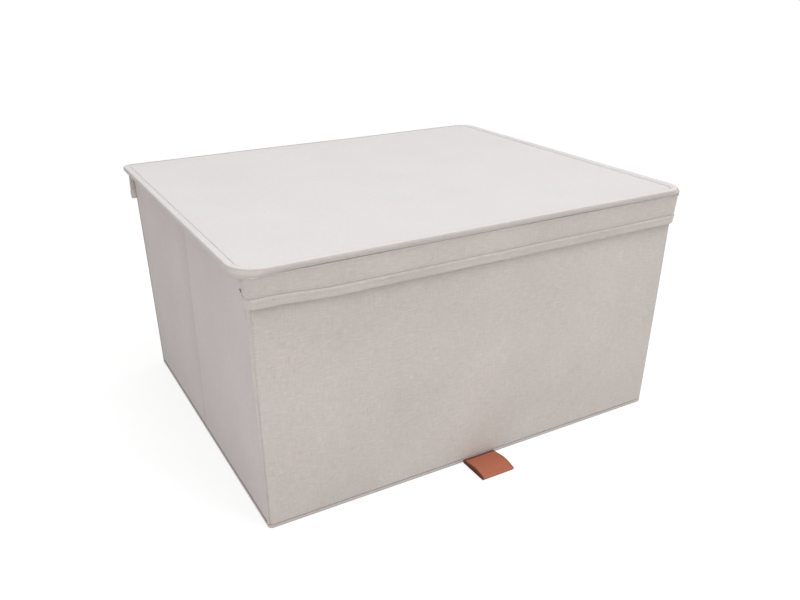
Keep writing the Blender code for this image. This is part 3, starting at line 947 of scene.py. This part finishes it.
def dress_flap(side, turn, seed):
    """One of the lid's flaps: a beaded seam at the roll, a stitched hem, a board and a lining."""
    course = front_course(0.0022, 8, 0.007, FLAP_REACH)
    along = flat_run(course, wrap=False)
    end = along[-1] / 2
    at_ends = unit(1 - (end - np.abs(along - end)) / END_REACH) ** 1.5
    profile = flap_profile()
    fold_row = len(profile) - 6

    near = unit((CORNER_LIFT_FROM - along) / CORNER_LIFT_OVER)
    near_lift = CORNER_LIFT * near**2 * (3 - 2 * near) * (side == "front")
    near_tuck = CORNER_TUCK * at_ends
    hem_out = np.maximum(0.00045 * ripple(along, 0.0, 21 + seed, 0.12), -0.0004)
    hem_up = np.minimum(0.0006 * ripple(along, 0.0, 17 + seed, 0.16), 0.0002) + END_LIFT * at_ends

    def flap_wave(row):
        """The hem waves and lifts at the near corner; above it the face's ends are tucked in."""
        share = min(1.0, max(0.0, (row - FREE_ROW) / (fold_row - FREE_ROW))) ** 1.5
        fallen = FALLEN[row] if row < HEM_ROW else 1.0
        rise = fallen * near_lift + share * hem_up * (1 if row < len(profile) - 2 else 0.5)
        return share * hem_out - (1 - fallen) * near_tuck, rise

    turned_in = np.zeros(len(along))
    turned_in[:4] = FLAP_TURN[::-1]
    turned_in[-4:] = FLAP_TURN
    turned_in *= FLAP_BESIDE[side]
    clearance = np.where(turned_in < FLAP_BESIDE[side], 0.0006, 0.0001)
    sides = ("left", "right") if side == "front" else ("right", "left")

    def flap_place(course, overhang, height):
        """Points round the flap, whose returns stay clear of the end walls as they lean out."""
        line, outs = course
        overhang, height = (np.broadcast_to(value, len(outs)) for value in (overhang, height))
        leans = [lean_out(height - WALL_BOTTOM, name) for name in sides]
        free = np.where(outs[:, 0] < 0, *leans) + clearance
        outer = np.interp(height, (FLAP_FOOT.y, FLAP_HEAD.y), (FLAP_FOOT.x, FLAP_HEAD.x))
        inward = outer - overhang
        beside = np.maximum(free + FLAP_BESIDE[side] - 0.4 * inward - turned_in, free)
        x, y = line[:, 0] + outs[:, 0] * beside, line[:, 1] + outs[:, 1] * overhang
        in_hem = unit((profile[HEM_ROW][1] - height) / 0.0006)
        beyond = np.maximum(y - (CORNER - HALF_DEPTH), 0.0)
        return np.column_stack([x, y - beyond * 0.85 * in_hem, height])

    cloths = [linen, linen_painted_hem_shadow, linen_flap]
    cover = (f"{side}_flap_cloth", course, profile, cloths, FLAP_CLOTH, flap_wave)
    cover = swept(*cover, wrap=False, place=flap_place)
    # The groove row above the hem is painted as shadow with the much darker copy of the linen
    for polygon in cover.data.polygons:
        row = polygon.index // (len(along) - 1)
        polygon.material_index = 1 if row == HEM_ROW else 2 if row < HEM_ROW else 0

    within = tuple(part[FLAP_END:-FLAP_END] for part in course)

    def layer(part, inward, ups, material, thickness):
        """A layer behind the cover, with rows so far up the flap, following its tuck and lift."""

        def wave(row):
            fallen = min(1.0, (FLAP_LENGTH - ups[row]) / (FLAP_LENGTH - HEM_LINE))
            moved = np.array([(fallen - 1) * near_tuck, fallen * near_lift])
            return moved[:, FLAP_END:-FLAP_END]

        rows = [flap_point(HEM_STEP + COVER + inward, up) for up in ups]
        made = (f"{side}_flap_{part}", within, rows, [material], thickness, wave)
        return swept(*made, wrap=False), rows

    ups = (HEM_DEPTH + 0.0003, 0.66 * FLAP_LENGTH, FLAP_LENGTH)
    inside, lined = layer("inner", FLAP_BOARD + LINING + 0.0006, ups, lining, LINING)
    ups = (FLAP_LENGTH - 0.0003, 0.66 * FLAP_LENGTH, HEM_LINE, 0.0024)
    stiffener, _ = layer("stiffener", 0.0003, ups, board, FLAP_BOARD)
    for piece in (cover, inside, stiffener):
        piece.data.transform(Matrix.Rotation(turn, 4, "Z"))
    stand_in(stiffener, "lid", "board", f"{side}_flap_board")
    declare(cover, "linen", f"{side}_flap_cover")
    declare(inside, "lining", f"{side}_flap_lining")

    overhang, height = profile[SEWN_ROW]
    shift_out, shift_up = flap_wave(SEWN_ROW)
    line = flap_place(course, overhang + shift_out + 0.0001, height + shift_up)
    runs = run_length(line, wrap=False)
    starts, ends = (
        np.column_stack([np.interp(row, runs, line[:, k]) for k in range(3)])
        for row in dashes(0.006, runs[-1] - 0.006)
    )
    stitch_row(f"{side}_flap_stitches", starts, ends, "lid", turn)
    if side == "front":
        tack("front_flap_tack_left", -1, "left")
        tack("front_flap_tack_right", 1, "right")


def tack(name, sign, side):
    """A bar tack of dark thread at the end of the front flap, in a few strands side by side."""
    height = flap_point(HEM_STEP, TACK_SHARE * FLAP_LENGTH)[1]
    x = HALF_LENGTH + lean_out(height - WALL_BOTTOM, side)
    near, far = sign * (x + 0.0007 + FLAP_BESIDE["front"]), sign * (x + 0.0003 - END_INSET)
    y = FLAP_REACH - HALF_DEPTH
    levels = [height + TACK_STRAND * k for k in (-1, 0, 1)]
    starts = [(near, y - 0.0006, level) for level in levels]
    ends = [(far, y + 0.0080, level + 0.0002) for level in levels]
    stitch_row(name, starts, ends, "lid", sewn_with=tack_thread)


# Base

TRAY_TURN = 0.0012
TRAY_RISE = 0.0034
TRAY_RINGS = (0.98, 0.93, 0.85, 0.7, 0.5, 0.25)
FLOOR_INSET = 0.0011


def dress_base():
    """The base: the cover's turned-up tray under its board, and the lining on top."""
    course = ring((CORNER,) * 4, 8, 0.012)
    profile = [(0.0, TRAY_RISE), (0.0, 0.0022)]
    profile += arc((-TRAY_TURN, TRAY_TURN), TRAY_TURN, 0.0, -90.0, 4)
    rings = [ring_place(course, *spot) for spot in profile]
    rings += [rings[-1] * (share, share, 1.0) for share in TRAY_RINGS]
    points = [*np.concatenate(rings), (0.0, 0.0, 0.0)]
    faces = turned_over(capped_faces(len(rings), len(course[0])))
    cloth = [(points[i][0] + points[i][2], points[i][1] - points[i][2]) for f in faces for i in f]
    # The tray's edge takes the darker copy of the linen as painted shade at the floor
    tray = make_piece("base_tray_cloth", points, faces, cloth, [dark_linen_painted_shade], COVER)
    inside = flat_cloth("base_floor_cloth", course, -FLOOR_INSET, TRAY_RISE, lining, LINING)
    flat_sheet(tray, "base", "linen", "base_cover")
    flat_sheet(inside, "base", "lining", "base_lining")


# Pull tab

TAB_WIDTH = 0.034
TAB_LENGTH = 0.0328
TAB_THICKNESS = 0.0013
TAB_FOLD = 0.00035
TAB_CROWN = 0.0021
TAB_SAG = 0.00035


def dress_tab():
    """A leather strip folded to a loop: along the floor, round the fold and back over a crown."""
    outer = TAB_FOLD + TAB_THICKNESS
    floor_end = TAB_LENGTH - outer
    line = [(floor_end * k / 10, 0.0) for k in range(11)]
    line += arc((floor_end, outer), outer, -90.0, 90.0, 10)[1:]
    for k in range(1, 25):
        share = 1 - k / 24
        rise = TAB_CROWN * math.sin(math.pi * share**1.35) ** 1.3
        line.append((floor_end * share, 2 * outer + rise))
    across = spaced(-TAB_WIDTH / 2, TAB_WIDTH / 2, (0.0, 0.0005, 0.0010), 0.004)
    front = -HALF_DEPTH - 0.0003
    points, cloth_at = [], []
    for (reach, height), run in zip(line, line_length(line)):
        for x in across:
            share = abs(x) / (TAB_WIDTH / 2)
            sag = TAB_SAG * (1 - share**2) * math.sin(math.pi * reach / TAB_LENGTH)
            points.append((x, front - reach, height - (sag if run > TAB_LENGTH else 0.0)))
            cloth_at.append((x, run))
    faces = grid_faces(len(line), len(across), False)
    cloth = [cloth_at[i] for f in faces for i in f]
    leathers = [leather, leather_cut_edge_and_painted_shade]
    tab = make_piece("pull_tab_leather", points, faces, cloth, leathers, TAB_THICKNESS)
    tab.modifiers["thickness"].material_offset_rim = 1
    columns = len(across) - 1
    # The dark copy of the leather stands for the burnished cut edge on the rim and side edges, and is
    # painted shade on the fold's lower rows and the rows at the root
    for polygon in tab.data.polygons:
        row, column = divmod(polygon.index, columns)
        side_edge = min(column, columns - 1 - column) < 2
        polygon.material_index = int(side_edge or 12 <= row <= 14 or row >= len(line) - 3)
    stand_in(tab, "tab", "leather", "pull_tab")


for seed, prefix in enumerate(WALLS, 1):
    dress_wall(prefix, seed)
dress_lid()
dress_base()
dress_tab()

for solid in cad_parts.values():
    if not solid.hide_render:
        solid.data.materials.clear()
        solid.data.materials.append(board)


# Stage, light and camera

# The floor fades to white away from the box; other light meets it as a plain grey
FLOOR_REACH = 12.0
FLOOR_FADE = (0.35, 1.1)
FLOOR_DIFFUSE = 0.38
FLOOR_GLOW = 0.70
FLOOR_BOUNCE = 0.76
WHITE = (1.0, 1.0, 1.0, 1.0)
AMBIENT, AMBIENT_STRENGTH = (1.0, 0.99, 0.98, 1.0), 0.50

# Each lamp's place, what it faces, its size and its power in watts
LAMPS = {
    "softbox_above": ((0.2, 0.2, 1.9), (0.0, 0.0, 0.1), (2.0, 2.0), 13.5),
    "softbox_high": ((0.6, -0.85, 1.65), (0.0, -0.1, 0.12), (1.2, 0.9), 10.3),
    "softbox_front": ((1.4, -1.6, 0.38), (0.05, 0.0, 0.05), (1.8, 0.7), 6.5),
    "softbox_left": ((-1.15, -0.75, 0.80), (0.0, 0.0, 0.12), (0.6, 0.6), 5.3),
}

# The camera, as fitted to the box's edges in the photo, with its angles in degrees
CAMERA_PLACE = (-0.36493, -0.67436, 0.42639)
CAMERA_YAW, CAMERA_PITCH, CAMERA_ROLL = 29.19, 26.07, -0.42
CAMERA_SENSOR, CAMERA_LENS = 36.0, 34.96
CAMERA_SHIFT = (0.0022, 0.04857)


def mixed(tree, lit, seen):
    """A shader for other light, and one that the camera sees, also in gloss and through glass."""
    path = node(tree, "LightPath").outputs
    rays = maths(tree, "MAXIMUM", path["Is Camera Ray"], path["Is Glossy Ray"])
    rays = maths(tree, "MAXIMUM", rays, path["Is Transmission Ray"])
    inputs = {0: rays, 1: lit.outputs[0], 2: seen.outputs[0]}
    return {"Surface": node(tree, "MixShader", inputs).outputs[0]}


def make_floor():
    mesh = bpy.data.meshes.new("floor")
    corners = ((-1, -1), (1, -1), (1, 1), (-1, 1))
    points = [(x * FLOOR_REACH, y * FLOOR_REACH, 0) for x, y in corners]
    mesh.from_pydata(points, [], [(0, 1, 2, 3)])
    floor = add_object("floor", mesh)
    material, tree = new_material("pale_floor")
    tree.nodes.clear()
    place = node(tree, "TexCoord").outputs["Object"]
    inputs = {0: place}
    distance = node(tree, "VectorMath", inputs, operation="LENGTH").outputs["Value"]
    inputs = {"Value": distance, "From Min": FLOOR_FADE[0], "From Max": FLOOR_FADE[1]}
    away = node(tree, "MapRange", inputs, interpolation_type="SMOOTHSTEP").outputs[0]
    grey = times_plus(tree, away, -FLOOR_DIFFUSE, FLOOR_DIFFUSE)
    strength = times_plus(tree, away, 1.0 - FLOOR_GLOW, FLOOR_GLOW)
    diffuse = node(tree, "BsdfDiffuse", {"Color": grey})
    glow = node(tree, "Emission", {"Color": WHITE, "Strength": strength})
    shown = node(tree, "AddShader", {0: diffuse.outputs[0], 1: glow.outputs[0]})
    plain = node(tree, "BsdfDiffuse", {"Color": (*[FLOOR_BOUNCE] * 3, 1.0)})
    output = node(tree, "OutputMaterial", mixed(tree, plain, shown))
    output.is_active_output = True
    mesh.materials.append(material)


def make_world():
    world = bpy.data.worlds.new("studio")
    bpy.context.scene.world = world
    world.use_nodes = True
    tree = world.node_tree
    tree.nodes.clear()
    inputs = {"Color": AMBIENT, "Strength": AMBIENT_STRENGTH}
    ambient = node(tree, "Background", inputs)
    white = node(tree, "Background", {"Color": WHITE, "Strength": 1.0})
    node(tree, "OutputWorld", mixed(tree, ambient, white))


def area_light(name, place, target, size, power):
    data = bpy.data.lights.new(name, "AREA")
    data.shape = "RECTANGLE"
    data.size, data.size_y = size
    data.energy = power
    lamp = add_object(name, data)
    lamp.location = place
    aim = Vector(target) - Vector(place)
    lamp.rotation_euler = aim.to_track_quat("-Z", "Y").to_euler()


def make_camera():
    data = bpy.data.cameras.new("camera")
    camera = add_object("camera", data)
    bpy.context.scene.camera = camera
    camera.location = CAMERA_PLACE
    camera.rotation_mode = "QUATERNION"
    aim = Quaternion()
    for axis, angle in zip("zxz", (-CAMERA_YAW, 90.0 - CAMERA_PITCH, CAMERA_ROLL)):
        aim = aim @ Quaternion([float(axis == name) for name in "xyz"], math.radians(angle))
    camera.rotation_quaternion = aim
    data.sensor_width = CAMERA_SENSOR
    data.lens = CAMERA_LENS
    data.shift_x, data.shift_y = CAMERA_SHIFT
    data.clip_start, data.clip_end = 0.01, 100.0


make_floor()
make_world()
for name, settings in LAMPS.items():
    area_light(name, *settings)
make_camera()
bpy.context.scene.view_settings.view_transform = "Standard"
